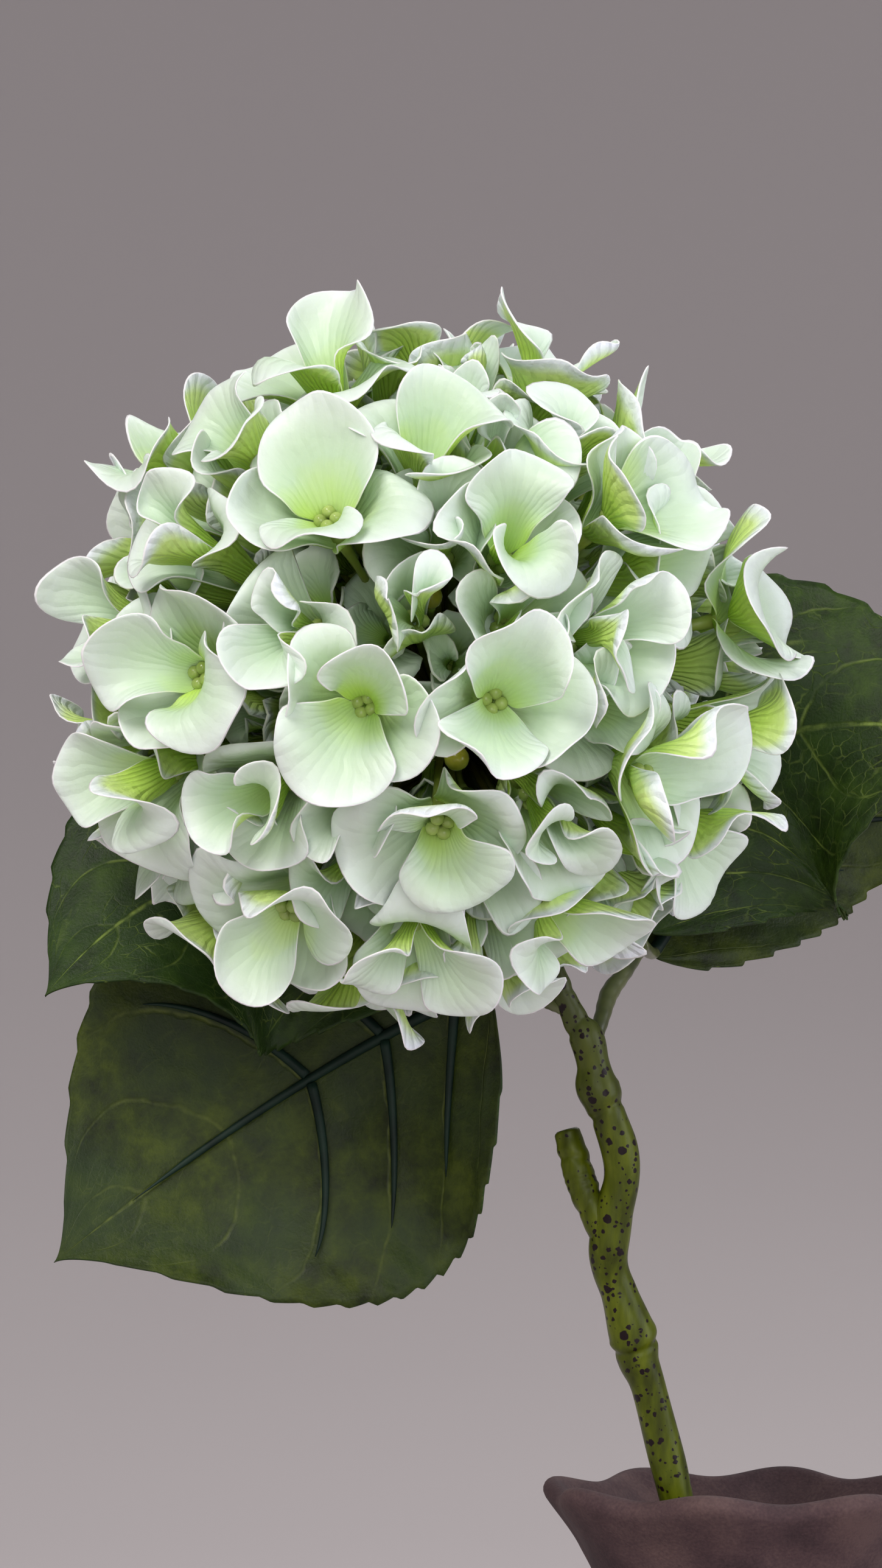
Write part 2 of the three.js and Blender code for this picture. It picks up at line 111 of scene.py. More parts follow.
def makePiece(name, points, faces, materials, nodes=(), uv=None, values={}):
    # a smooth mesh object at the origin that rides on the frame and stands for the CAD nodes
    mesh = bpy.data.meshes.new(name)
    corners = np.concatenate([f.ravel() for f in faces])
    counts = np.concatenate([np.full(len(f), f.shape[1]) for f in faces])
    mesh.vertices.add(len(points))
    mesh.vertices.foreach_set("co", (points * mm).ravel())
    mesh.loops.add(len(corners))
    mesh.loops.foreach_set("vertex_index", corners)
    mesh.polygons.add(len(counts))
    mesh.polygons.foreach_set("loop_start", np.cumsum(counts) - counts)
    mesh.update(calc_edges=True)
    mesh.shade_smooth()
    if uv is not None:
        mesh.uv_layers.new(name="surfaceMap").data.foreach_set("uv", uv[corners].ravel())
    for key, numbers in values.items():
        mesh.attributes.new(key, "FLOAT", "POINT").data.foreach_set("value", numbers.ravel())
    for material in materials:
        mesh.materials.append(material)
    piece = bpy.data.objects.new(name, mesh)
    bpy.context.scene.collection.objects.link(piece)
    if nodes:
        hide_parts(*nodes)
        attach(piece, "root")
    print("made", name, len(points), "points")
    return piece


def thicken(piece, thickness, rimMaterial=0):
    # a wall to both sides of a sheet, with the next material underneath
    wall = piece.modifiers.new("thickness", "SOLIDIFY")
    wall.thickness = thickness * mm
    wall.offset = 0
    wall.material_offset = 1
    wall.material_offset_rim = rimMaterial


def linear(code):
    # an sRGB hex colour as linear red, green, blue and alpha
    c = np.array([int(code[i:i + 2], 16) for i in (1, 3, 5)]) / 255
    return (*np.where(c <= 0.04045, c / 12.92, ((c + 0.055) / 1.055) ** 2.4), 1.0)


def addNode(material, kind, links={}, stops=(), **settings):
    # one node with its settings, its inputs set or linked, where a node stands for its first output, and the
    # stops of a colour ramp
    tree = material.node_tree
    node = tree.nodes.new("ShaderNode" + kind)
    for name, value in settings.items():
        setattr(node, name, value)
    if stops:
        elements = node.color_ramp.elements
        for place, code in stops[1:-1]:
            elements.new(place).color = linear(code)
        for end in (0, -1):
            elements[end].position = stops[end][0]
            elements[end].color = linear(stops[end][1])
    for name, value in links.items():
        if isinstance(value, bpy.types.Node):
            value = value.outputs[0]
        if isinstance(value, bpy.types.NodeSocket):
            tree.links.new(value, node.inputs[name])
        else:
            node.inputs[name].default_value = value
    return node


def newMaterial(name, recipe, *details):
    # a material whose shader takes the inputs that its recipe returns
    m = bpy.data.materials.new(name)
    m.use_nodes = True
    m.node_tree.nodes.clear()
    shader = addNode(m, "BsdfPrincipled", recipe(m, *details))
    addNode(m, "OutputMaterial", {"Surface": shader})
    return m


def perMetre(size):
    # the scale of a texture whose cells measure size millimetres
    return 1 / (size * mm)


# the vase: mauve-brown stoneware

vaseSpec = {
    "outside": [  # radius and height, from the foot to the lip
        (44, 0), (52, 14), (59, 42), (62, 72), (56, 102), (43, 127), (35, 145), (38.8, 157), (46, 167.5),
    ],
    "outsideSteps": 70,
    "lipSteps": 7,
    "segments": 192,
    "wall": 5,
    "floorHeight": 6,
    "flareFrom": 145,
    "flareTo": 170,
    "lobes": 8,
    "lobeDepth": 1.9,
    "lobeRise": 1.1,
    "lobeTurn": 0.52,
    "clay": "#453336",
    "claySmoke": "#35262a",
    "clayPale": "#594544",
    "cloudSize": 30,
    "smudgeSize": 5,
    "grit": 0.7,  # real grit is about 0.3 mm, drawn coarser so that it shows
}


def stoneware(m):
    # unglazed stoneware, thrown and fired: dull, cloudy in tone, with fine grit that catches light
    spec = vaseSpec
    place = addNode(m, "TexCoord").outputs["Object"]
    cloudScale, smudgeScale, gritScale = (perMetre(spec[key]) for key in ("cloudSize", "smudgeSize", "grit"))
    clouds = addNode(m, "TexNoise", {"Vector": place, "Scale": cloudScale, "Detail": 5, "Roughness": 0.6})
    grit = addNode(m, "TexNoise", {"Vector": place, "Scale": gritScale, "Detail": 3})
    smudge = addNode(m, "TexNoise", {"Vector": place, "Scale": smudgeScale, "Detail": 4})
    mixed = addNode(m, "Math", {0: grit, 1: 0.3, 2: clouds}, operation="MULTIPLY_ADD")
    stops = [(0.5, spec["claySmoke"]), (0.64, spec["clay"]), (0.82, spec["clayPale"])]
    colour = addNode(m, "ValToRGB", {"Fac": mixed}, stops=stops)
    rough = addNode(m, "MapRange", {"Value": smudge, "To Min": 0.72, "To Max": 0.95})
    heights = addNode(m, "Math", {0: smudge, 1: 0.5, 2: grit}, operation="MULTIPLY_ADD")
    bump = addNode(m, "Bump", {"Height": heights, "Strength": 0.35, "Distance": 0.4 * mm})
    return {"Base Color": colour, "Roughness": rough, "Specular IOR Level": 0.35, "Normal": bump}


def makeVase():
    # the profile, up the outside, round the lip and down the inside, turned about the axis; a lobe is the
    # cosine of eight times the angle, times how far up the flare the point is
    spec = vaseSpec
    outside = smoothPath(spec["outside"], spec["outsideSteps"])
    run = unit(np.gradient(outside, axis=0))
    inward = np.stack([-run[:, 1], run[:, 0]], axis=1)
    aboveFloor = outside[:, 1] > spec["floorHeight"] + 1
    inside = (outside + spec["wall"] * inward)[aboveFloor][::-1]
    middle = (outside[-1] + inside[0]) / 2
    turn = np.linspace(0.15, 0.85, spec["lipSteps"])[:, None] * pi
    start = outside[-1] - middle
    upward = np.array([-start[1], start[0]])
    lip = middle + start * np.cos(turn) + upward * np.sin(turn)
    foot = np.array([[spec["outside"][0][0] * share, 0] for share in (0, 0.5, 0.96)])
    floor = np.array([[inside[-1, 0] * share, spec["floorHeight"]] for share in (0.9, 0.5, 0)])
    profile = np.concatenate([foot, outside, lip, inside, floor])
    angle = np.arange(spec["segments"]) * 2 * pi / spec["segments"]
    radius, height = profile[:, :1], profile[:, 1:]
    flare = smoothStep(height, spec["flareFrom"], spec["flareTo"])
    lobe = np.cos(spec["lobes"] * (angle - spec["lobeTurn"])) * flare
    radius = radius + spec["lobeDepth"] * lobe
    height = height + spec["lobeRise"] * lobe
    points = np.stack([radius * np.cos(angle), radius * np.sin(angle), height + 0 * angle], axis=-1)
    faces = gridFaces(1, len(profile), spec["segments"], wrap=True)
    clay = newMaterial("unglazed_stoneware", stoneware)
    makePiece("vase_stoneware", points.reshape(-1, 3), [faces], [clay], ["vase"])


# the stem with its cut stub; a station is x, y, z and radius

stemSpec = {
    "stem": {
        "stations": [
            (17, 4, 6.6, 3.7), (2.5, -9.5, 77, 3.8), (-11.4, -22.2, 146, 3.8), (-17.4, -27, 168.5, 3.8),
            (-20.5, -28.6, 180, 4.1), (-24.3, -31, 195.5, 3.9), (-26.9, -32, 201.8, 4.7),
            (-28, -33, 207.6, 5.3), (-30.9, -34, 215.8, 4.2), (-32.8, -35, 221.5, 4.1),
            (-33.4, -36.4, 227.3, 4.5), (-32.4, -37.6, 233.7, 4.4), (-30.6, -38.8, 241.6, 4),
            (-31.3, -40, 249.3, 4.2), (-33.9, -41, 257.1, 4), (-36.1, -41.6, 262.3, 4.9),
            (-36.9, -42, 267.4, 3.7), (-38.7, -42.7, 273.6, 3.9), (-41.5, -43.3, 278.7, 2.7),
            (-46.9, -44.3, 290.6, 2.5), (-54, -45, 308, 2.5), (-64.5, -45, 334.5, 2.4),
        ],
        "rows": 520, "sides": 28, "knobs": 0.025, "rings": (205, 257, 276, 284.5),
    },
    "stub": {
        "stations": [
            (-33.4, -37, 228, 3.6), (-38.4, -36.3, 238.5, 3.4), (-40.3, -35.8, 244.1, 3.5),
            (-42.7, -35, 252.9, 2.9),
        ],
        "rows": 70, "sides": 24, "knobs": 0.01, "ends": (0.82, 0.97), "rings": (237, 246),
    },
    "creaseDepth": 0.09,
    "creaseSlant": 1.2,
    "ringWidth": 0.8,
    "swelling": 0.05,
    "swellingRise": 2.2,
    "green": "#454e06",
    "greenPale": "#5b6410",
    "greenDeep": "#323806",
    "streakSize": 3,
    "greyTop": "#3f4524",
    "greyFrom": 250,
    "greyTo": 285,
    "speck": "#14060a",
    "speckSizes": ((3.3, 0.38), (1.5, 0.46)),  # the cell of one speck, and how much of it the largest fills
    "speckWobble": 1.0,
}


def rodPart(stations, rows, sides, knobs=0.0, ends=(0.75, 0.95), rings=()):
    # a tube along the stations with soft knobs and rounded ends; at each ring's height a crease is pressed in
    # below a swelling, both bell curves of the height
    spec = stemSpec
    path = smoothPath(stations, rows)
    along = np.linspace(0, 1, rows)[:, None]
    angle = np.arange(sides) * 2 * pi / sides
    lumps = np.sin(37 * along + 2 * angle) * np.sin(23 * along + angle + 1) + np.sin(61 * along - angle)
    radius = path[:, 3:] * (1 + knobs * lumps)
    for height in rings:
        up = (path[:, 2:3] - height - spec["creaseSlant"] * np.sin(angle + height)) / spec["ringWidth"]
        crease = spec["creaseDepth"] * np.exp(-up * up)
        swelling = spec["swelling"] * np.exp(-((up - spec["swellingRise"]) ** 2) / 2)
        radius = radius * (1 - crease + swelling)
    radius[0] *= ends[0]
    radius[-1] *= ends[0]
    radius[[1, -2]] *= ends[1]
    return tubes(path[None, :, :3], radius[None], sides)


def sprayedPlastic(m):
    # moulded polyethylene over wire, sprayed olive green and spattered dark red-brown: satin, streaked
    spec = stemSpec
    place = addNode(m, "TexCoord").outputs["Object"]
    wobble = addNode(m, "TexNoise", {"Vector": place, "Scale": perMetre(1.2), "Detail": 2}).outputs["Color"]
    offset = addNode(m, "VectorMath", {0: wobble, 1: (spec["speckWobble"] * mm,) * 3}, operation="MULTIPLY")
    shaken = addNode(m, "VectorMath", {0: place, 1: offset}, operation="ADD")
    masks = []
    for size, reach in spec["speckSizes"]:
        cells = addNode(m, "TexVoronoi", {"Vector": shaken, "Scale": perMetre(size)})
        chance = addNode(m, "SeparateColor", {"Color": cells.outputs["Color"]})
        power = addNode(m, "Math", {0: chance, 1: 1.2}, operation="POWER")
        limit = addNode(m, "Math", {0: power, 1: reach}, operation="MULTIPLY")
        depth = addNode(m, "Math", {0: limit, 1: cells.outputs["Distance"]}, operation="SUBTRACT")
        masks.append(addNode(m, "MapRange", {"Value": depth, "From Min": 0, "From Max": 0.04}))
    specks = addNode(m, "Math", {0: masks[0], 1: masks[1]}, operation="MAXIMUM")
    tall = addNode(m, "SeparateXYZ", {0: place}).outputs["Z"]
    greyFrom, greyTo = spec["greyFrom"] * mm, spec["greyTo"] * mm
    greying = addNode(m, "MapRange", {"Value": tall, "From Min": greyFrom, "From Max": greyTo})
    stretch = addNode(m, "Mapping", {"Vector": place, "Scale": (1, 1, 0.25)})
    streaks = addNode(m, "TexNoise", {"Vector": stretch, "Scale": perMetre(spec["streakSize"]), "Detail": 4})
    stops = [(0.3, spec["greenDeep"]), (0.5, spec["green"]), (0.72, spec["greenPale"])]
    colour = addNode(m, "ValToRGB", {"Fac": streaks}, stops=stops)
    for share, tint in ((greying, "greyTop"), (specks, "speck")):
        mix = {"Factor": share, 6: colour, 7: linear(spec[tint])}  # 6 and 7 are the two colours
        colour = addNode(m, "Mix", mix, data_type="RGBA").outputs[2]
    bump = addNode(m, "Bump", {"Height": streaks, "Strength": 0.4, "Distance": 0.5 * mm})
    return {"Base Color": colour, "Roughness": 0.36, "Specular IOR Level": 0.2, "Normal": bump}


def makeStem():
    # the stem and its stub as one piece
    points, faces = gather([rodPart(**stemSpec["stem"]), rodPart(**stemSpec["stub"])])
    plastic = newMaterial("sprayed_stem_plastic", sprayedPlastic)
    makePiece("stem_with_stub", points, faces, [plastic], ["stem"])


# the leaves; face is the way that the upper side of the blade looks

leafSpec = {
    "thickness": 0.6,
    "rows": 240,
    "columns": 49,
    "teeth": 17,
    "toothPeak": 0.8,
    "toothDepth": 1.3,
    "droop": 0.05,
    "waves": 2.5,
    "wavePhases": (0.6, 2.4),
    "swell": 0.9,
    "pucker": 0.22,
    "ribStarts": (0.08, 0.26, 0.44),
    "veinSpacing": 0.18,
    "veinSlant": 0.12,
    "veinCurl": 0.2,
    "veinWander": 0.05,
    "netCells": 17,
    "noises": {  # the size of a cloud in millimetres, and its detail
        "wander": (14, 3), "break": (4, 3), "shake": (3, 2), "fade": (16, 2), "sheen": (32, 2),
        "weave": (0.6, 2),  # real threads are about 0.25 mm apart, drawn coarser so that they show
    },
    # sheen is a painted grey-teal sheen, mixed into the colour in patches
    "top": {
        "dark": "#121d05", "main": "#213508", "pale": "#32480d",
        "vein": "#71843a", "net": 0.6, "sheen": "#213813",
    },
    "under": {
        "dark": "#171f06", "main": "#2b3709", "pale": "#404c0f",
        "vein": "#545f28", "net": 0.2, "sheen": "#2b3b20",
    },
}

leaves = {
    "leaf_lower_left": {
        "base": (-60, -9, 286), "bend": (-104.5, 24, 268), "tip": (-160, -4, 222.5),
        "face": (0.06, 0.97, -0.03), "halfWidth": 55.5, "fold": -0.06, "wave": 2.2,
    },
    "leaf_upper_left": {
        "base": (-65, -17, 291), "bend": (-121, 2, 336), "tip": (-160.5, -26, 283),
        "face": (-0.25, -0.92, 0.3), "halfWidth": 43, "fold": -0.04, "wave": 2.6,
    },
    "leaf_upper_right": {
        "base": (-24.5, -12, 298.5), "bend": (-12, 14, 363), "tip": (54, -22, 341),
        "face": (0.1, -0.97, 0.2), "halfWidth": 45, "fold": -0.08, "wave": 2.4,
    },
    "leaf_lower_right": {
        "base": (-22, -1, 293.5), "bend": (8, 28, 341), "tip": (66, 40, 366),
        "face": (0.0, 0.97, 0.24), "halfWidth": 31, "fold": -0.1, "wave": 2.2,
    },
}


def leafShape(s):
    # half width against the way s along the midrib: sin(pi s^0.9)^0.55 (1 - s^7)
    return np.sin(pi * np.clip(s, 0, 1) ** 0.9) ** 0.55 * (1 - s ** 7)


def veinLead(u):
    # how far along the blade a side vein has run when it is u across: slant x u + curl x u^2
    return leafSpec["veinSlant"] * np.abs(u) + leafSpec["veinCurl"] * u * u


def leafRelief(s, u):
    # the blade swells between its side veins, as |sin|^0.7 of the way from one to the next, and sinks along
    # them and along the midrib; small puckers are a product of two sines and a third sine
    spec = leafSpec
    phase = (s - veinLead(u) - spec["ribStarts"][0]) / spec["veinSpacing"]
    swell = np.abs(np.sin(pi * phase)) ** 0.7 * smoothStep(np.abs(u), 0.02, 0.25) * (1 - 0.5 * np.abs(u))
    puckers = np.sin(41 * s + 9 * u) * np.sin(13 * u - 23 * s) + 0.6 * np.sin(67 * s - 19 * u)
    return (spec["swell"] * swell + spec["pucker"] * puckers * np.abs(u)) * leafShape(s)


def leafPoint(leaf, s, u, drop=0.0, fine=True):
    # the blade at s along and u across: the midrib is a quadratic Bezier curve, and the point stands off it
    # by u x width sideways, and upwards by the fold, the droop of the margins and their ripple; fine adds
    # the teeth and the relief
    spec = leafSpec
    s, u = np.broadcast_arrays(np.asarray(s, float), np.asarray(u, float))
    base, bend, tip, face = (np.array(leaf[key], float) for key in ("base", "bend", "tip", "face"))
    s1 = s[..., None]
    middle = (1 - s1) ** 2 * base + 2 * s1 * (1 - s1) * bend + s1 ** 2 * tip
    along = unit((1 - s1) * (bend - base) + s1 * (tip - bend))
    side = unit(np.cross(np.broadcast_to(face, along.shape), along))
    up = np.cross(along, side)
    width = leaf["halfWidth"] * leafShape(s)
    if fine:
        x = (s * spec["teeth"]) % 1
        tooth = np.where(x < spec["toothPeak"], x / spec["toothPeak"], (1 - x) / (1 - spec["toothPeak"]))
        teeth = spec["toothDepth"] * (tooth - 0.5) * np.abs(u) ** 8
        width = width + teeth * smoothStep(leafShape(s), 0, 0.4)
    lift = np.abs(u) * width * np.sin(leaf["fold"]) - spec["droop"] * u * u * width
    ripple = leaf["wave"] * np.sin(2 * pi * spec["waves"] * s + np.where(u > 0, *spec["wavePhases"])) * u * u
    if fine:
        lift = lift + leafRelief(s, u)
    height = lift + ripple * leafShape(s) - drop
    return middle + side * (u * width * np.cos(leaf["fold"]))[..., None] + up * height[..., None]


def leafCloth(m, tints):
    # printed polyester cloth with a thin wax coat: dark mottled green with patches of painted grey-teal
    # sheen, thin broken yellow-green veins, a dull sheen and a fine woven grain
    spec = leafSpec
    falling = {"To Min": 1, "To Max": 0}
    place = addNode(m, "TexCoord").outputs["Object"]
    noises = {
        key: addNode(m, "TexNoise", {"Vector": place, "Scale": perMetre(size), "Detail": detail})
        for key, (size, detail) in spec["noises"].items()
    }
    flat = addNode(m, "UVMap", uv_map="surfaceMap")
    split = addNode(m, "SeparateXYZ", {0: flat})
    half = addNode(m, "Math", {0: split, 1: 2.0, 2: -1.0}, operation="MULTIPLY_ADD")
    across = addNode(m, "Math", {0: half}, operation="ABSOLUTE")

    # the midrib, and side veins that run as veinLead says, wander, and fade near the margin and the tip
    curving = {0: across, 1: spec["veinCurl"], 2: spec["veinSlant"]}
    lead = addNode(m, "Math", curving, operation="MULTIPLY_ADD")
    ahead = addNode(m, "Math", {0: across, 1: lead}, operation="MULTIPLY")
    level = addNode(m, "Math", {0: split.outputs[1], 1: ahead}, operation="SUBTRACT")
    wander = {0: noises["wander"], 1: spec["veinWander"], 2: level}
    shaken = addNode(m, "Math", wander, operation="MULTIPLY_ADD")
    shifted = addNode(m, "Math", {0: shaken, 1: spec["ribStarts"][0] + 0.04}, operation="SUBTRACT")
    toVein = addNode(m, "Math", {0: shifted, 1: spec["veinSpacing"] / 2}, operation="PINGPONG")
    sideVein = addNode(m, "MapRange", {"Value": toVein, "From Min": 0.001, "From Max": 0.006, **falling})
    midrib = addNode(m, "MapRange", {"Value": across, "From Min": 0.008, "From Max": 0.025, **falling})
    fromMargin = {"Value": across, "From Min": 0.6, "From Max": 0.95, "To Min": 1, "To Max": 0.1}
    fromTip = {"Value": level, "From Min": 0.5, "From Max": 0.7, "To Min": 1, "To Max": 0.4}
    for fromEdge in (fromMargin, fromTip):
        shown = addNode(m, "MapRange", fromEdge)
        sideVein = addNode(m, "Math", {0: sideVein, 1: shown}, operation="MULTIPLY")
    mainPart = addNode(m, "Math", {0: sideVein, 1: midrib}, operation="MAXIMUM")
    breaks = {"Value": noises["break"], "From Min": 0.38, "From Max": 0.62, "To Min": 0.1}
    brokenUp = addNode(m, "MapRange", breaks)

    # the fine net: cells of about 5 mm whose edges are shaken and fade in and out
    shake = noises["shake"].outputs["Color"]
    shove = addNode(m, "VectorMath", {0: shake, 1: (0.03, 0.03, 0.0)}, operation="MULTIPLY")
    moved = addNode(m, "VectorMath", {0: flat, 1: shove}, operation="ADD")
    cells = addNode(m, "VectorMath", {0: moved, 1: (1.0, 1.4, 1.0)}, operation="MULTIPLY")
    net = addNode(m, "TexVoronoi", {"Vector": cells, "Scale": spec["netCells"]}, feature="DISTANCE_TO_EDGE")
    netLine = addNode(m, "MapRange", {"Value": net, "From Max": 0.05, "To Min": tints["net"], "To Max": 0})
    fade = addNode(m, "MapRange", {"Value": noises["fade"], "From Min": 0.4, "From Max": 0.65})
    netPart = addNode(m, "Math", {0: netLine, 1: fade}, operation="MULTIPLY")
    lines = addNode(m, "Math", {0: mainPart, 1: netPart}, operation="MAXIMUM")
    ink = addNode(m, "Math", {0: lines, 1: brokenUp}, operation="MULTIPLY")

    # the mottled ground, patches of painted sheen over it, the ink on it, and the weave
    blotch = addNode(m, "TexNoise", {"Vector": place, "Scale": perMetre(9), "Detail": 7, "Roughness": 0.7})
    stops = [(0.33, tints["dark"]), (0.5, tints["main"]), (0.68, tints["pale"])]
    colour = addNode(m, "ValToRGB", {"Fac": blotch}, stops=stops)
    # painted sheen: patches where a grey-teal sheen colour is mixed into the ground
    clouds = {"Value": noises["sheen"], "From Min": 0.42, "From Max": 0.62, "To Max": 0.6}
    for share, tint in ((addNode(m, "MapRange", clouds), "sheen"), (ink, "vein")):
        mix = {"Factor": share, 6: colour, 7: linear(tints[tint])}
        colour = addNode(m, "Mix", mix, data_type="RGBA").outputs[2]
    relief = addNode(m, "Math", {0: noises["weave"], 1: 0.25, 2: blotch}, operation="MULTIPLY_ADD")
    sunk = addNode(m, "Math", {0: lines, 1: -0.4, 2: relief}, operation="MULTIPLY_ADD")
    bump = addNode(m, "Bump", {"Height": sunk, "Strength": 0.6, "Distance": 0.7 * mm})
    rough = addNode(m, "MapRange", {"Value": blotch, "To Min": 0.38, "To Max": 0.6})
    return {"Base Color": colour, "Roughness": rough, "Specular IOR Level": 0.22, "Normal": bump}


def makeLeaf(name, materials):
    # rows along the midrib crowd towards both ends, at s = (1 - cos t) / 2
    spec = leafSpec
    t = np.linspace(0.02, 0.985, spec["rows"]) * pi
    s = ((1 - np.cos(t)) / 2)[:, None]
    u = np.linspace(-1, 1, spec["columns"])[None, :]
    points = leafPoint(leaves[name], s, u).reshape(-1, 3)
    uv = np.stack(np.broadcast_arrays(u / 2 + 0.5, s), axis=-1).reshape(-1, 2)
    faces = gridFaces(1, spec["rows"], spec["columns"])[:, ::-1]
    leaf = makePiece(name + "_blade", points, [faces], materials, [name], uv)
    thicken(leaf, spec["thickness"])


# the side twigs, their leaf stalks, and the raised ribs under the blades

twigSpec = {
    "left": {
        "stations": [
            (-42, -43.5, 279.6, 2), (-46.4, -42, 281.2, 1.7), (-51, -37, 283.4, 1.7), (-58, -20, 286, 1.7),
        ],
        "leaves": ("leaf_lower_left", "leaf_upper_left"),
    },
    "right": {
        "stations": [
            (-37.5, -42.3, 271, 2), (-35, -38, 277.5, 1.8), (-32.8, -32, 283.8, 2.1),
            (-28.7, -26, 289.2, 1.7), (-25, -18, 295, 1.7),
        ],
        "leaves": ("leaf_upper_right", "leaf_lower_right"),
    },
    "stalkRadii": (1.6, 1.4, 1.2),
    "ribRadius": 1.4,
    "ribDrop": 1.15,
    "midribEnd": 0.84,
    "sideRibEnd": 0.7,
}

plastics = {  # two tones, the size of their clouds in millimetres, the roughness and the shine
    "twig_plastic": ("#3a4024", "#5a6038", 8, 0.35, 0.5),
    "rib_plastic": ("#0b1a15", "#152a20", 8, 0.5, 0.2),
    "bead_resin": ("#85994a", "#a9bc6a", 4, 0.15, 0.5),
    "bud_plastic": ("#7d7a1f", "#a3a03c", 5, 0.18, 0.5),
}


def mouldedPlastic(m, deep, main, cloudSize, rough, shine):
    # moulded coloured polyethylene, or resin for the beads: even colour with soft clouds, a waxy satin shine
    place = addNode(m, "TexCoord").outputs["Object"]
    clouds = addNode(m, "TexNoise", {"Vector": place, "Scale": perMetre(cloudSize), "Detail": 3})
    colour = addNode(m, "ValToRGB", {"Fac": clouds}, stops=[(0.35, deep), (0.65, main)])
    bump = addNode(m, "Bump", {"Height": clouds, "Strength": 0.3, "Distance": 0.3 * mm})
    return {"Base Color": colour, "Roughness": rough, "Specular IOR Level": shine, "Normal": bump}


def ribParts(leaf):
    # the midrib and slanting side ribs, half sunk into the underside of the blade; each thins as it runs out
    # and closes at its end
    spec = twigSpec
    way = np.linspace(0, spec["midribEnd"], 60)
    middle = leafPoint(leaf, way, 0 * way, spec["ribDrop"], fine=False)
    radius = spec["ribRadius"] * (1.1 - 0.75 * way) * np.minimum(1, (0.85 - way) * 8)
    parts = [tubes(middle[None], radius[None], sides=10)]
    q = np.linspace(0, 1, 26)
    radius = spec["ribRadius"] * (0.9 - 0.45 * q) * np.sqrt(np.maximum(1 - q ** 5, 0.02))
    for start in leafSpec["ribStarts"]:
        for hand in (-1, 1):
            u = hand * (0.02 + spec["sideRibEnd"] * q)
            path = leafPoint(leaf, start + veinLead(u), u, spec["ribDrop"], fine=False)
            parts.append(tubes(path[None], radius[None], sides=8))
    return parts


def makeTwig(side, twigPlastic, ribPlastic):
    # the side twig with a stalk to each of its two leaves, and the ribs under them
    spec = twigSpec
    stations = spec[side]["stations"]
    rods = [rodPart(stations, rows=60, sides=16, knobs=0.02)]
    ribs = []
    for name in spec[side]["leaves"]:
        underMidrib = leafPoint(leaves[name], (0.0, 0.06), (0.0, 0.0), spec["ribDrop"] + 0.3, fine=False)
        spots = [stations[-1][:3], *underMidrib]
        stalk = [(*spot, radius) for spot, radius in zip(spots, spec["stalkRadii"])]
        rods.append(rodPart(stalk, rows=24, sides=12, knobs=0.01))
        ribs += ribParts(leaves[name])
    for name, parts, plastic in (("_twig_stalks", rods, twigPlastic), ("_leaf_ribs", ribs, ribPlastic)):
        points, faces = gather(parts)
        makePiece(side + name, points, faces, [plastic], [side + "_twig"])


# the bloom

bloomSpec = {
    "head": (-74, -45, 354),
    "radius": 53,
    "faceRadius": 68,
    "levelStep": 5,
    "layers": [
        {"places": 72, "spacing": 24.5, "levels": (-1, 0, 1), "scale": 1.0},
        {"places": 300, "spacing": 11, "levels": (-1.3,), "scale": 0.92},
        {"places": 110, "spacing": 0, "levels": (-3.6,), "scale": 0.6},
    ],
    "deepLevel": -3,
    "budRoom": 8,
    "clearance": 11,
    "petalClearance": 4.5,
    "neighbourRange": 60,
    "petalLength": 31,
    "petalWidth": 29.5,
    "widestAngle": 1.0,
    "openReach": 26,
    "shortestReach": 8,
    "openLift": 0.42,
    "levelShare": 2.5,
    "roomFactor": 1.35,
    "underShare": 0.62,  # a low floret's petals run this share of the way to a large floret's axis
    "nesting": 3.2,
    "throatRadius": 0.8,
    "thickness": 0.5,
    "ruffles": ((2, 2.0, 1), (3, 1.7, 2), (5, 1.2, 3), (7, 0.6, 11)),  # waves round the margin, height, draw
    "ruffle": (0.8, 1.4),  # the least, and how much more there can be
    "bowl": 6,
    "fold": 22,
    "wave": 6,
    "tilt": (3.5, -2.5),  # of an inner and of an outer petal
    "dent": 0.55,
    "rollFrom": 0.6,
    "rollWidth": 6.8,
    "roll": (1.8, 4.2),  # up by the first angle at most, or back by their difference
    "petalFaces": {  # colours from the throat outwards, and how deep the veins are pressed
        "upper": (
            [(0, "#a2cb3c"), (0.3, "#bde268"), (0.6, "#d0ec93"), (0.78, "#e0eee4"), (0.94, "#e9eff8")], 0.85,
        ),
        "under": ([(0, "#bde268"), (0.3, "#c3ddbb"), (0.85, "#e0eee4")], 0.3),
        # the rim's near-white is partly the petal's white margin and partly a painted highlight on the cut
        # edge
        "rim": ([(0, "#d0ec93"), (0.35, "#f8f8fa")], 0.0),
    },
    "rootRadius": 22,
    "stalkRadius": 0.9,
    # the stalk's tones from the hub outwards; the dark ones near the hub are painted shade inside the head
    "stalkTintsAndShade": [(0.35, "#3d3510"), (0.75, "#6f6a22"), (1.05, "#8c9c3e"), (1.25, "#a3bd5e")],
    "bead": {"radius": 1.6, "halfLength": 1.6, "rows": 7, "sides": 9, "tip": 0.12},
    "beadRise": 5.6,
    "beadSpread": 1.8,
    "bud": {"radius": 2.7, "halfLength": 2.9, "rows": 14, "sides": 16, "tip": 0.1},
    "budRise": 2,
}

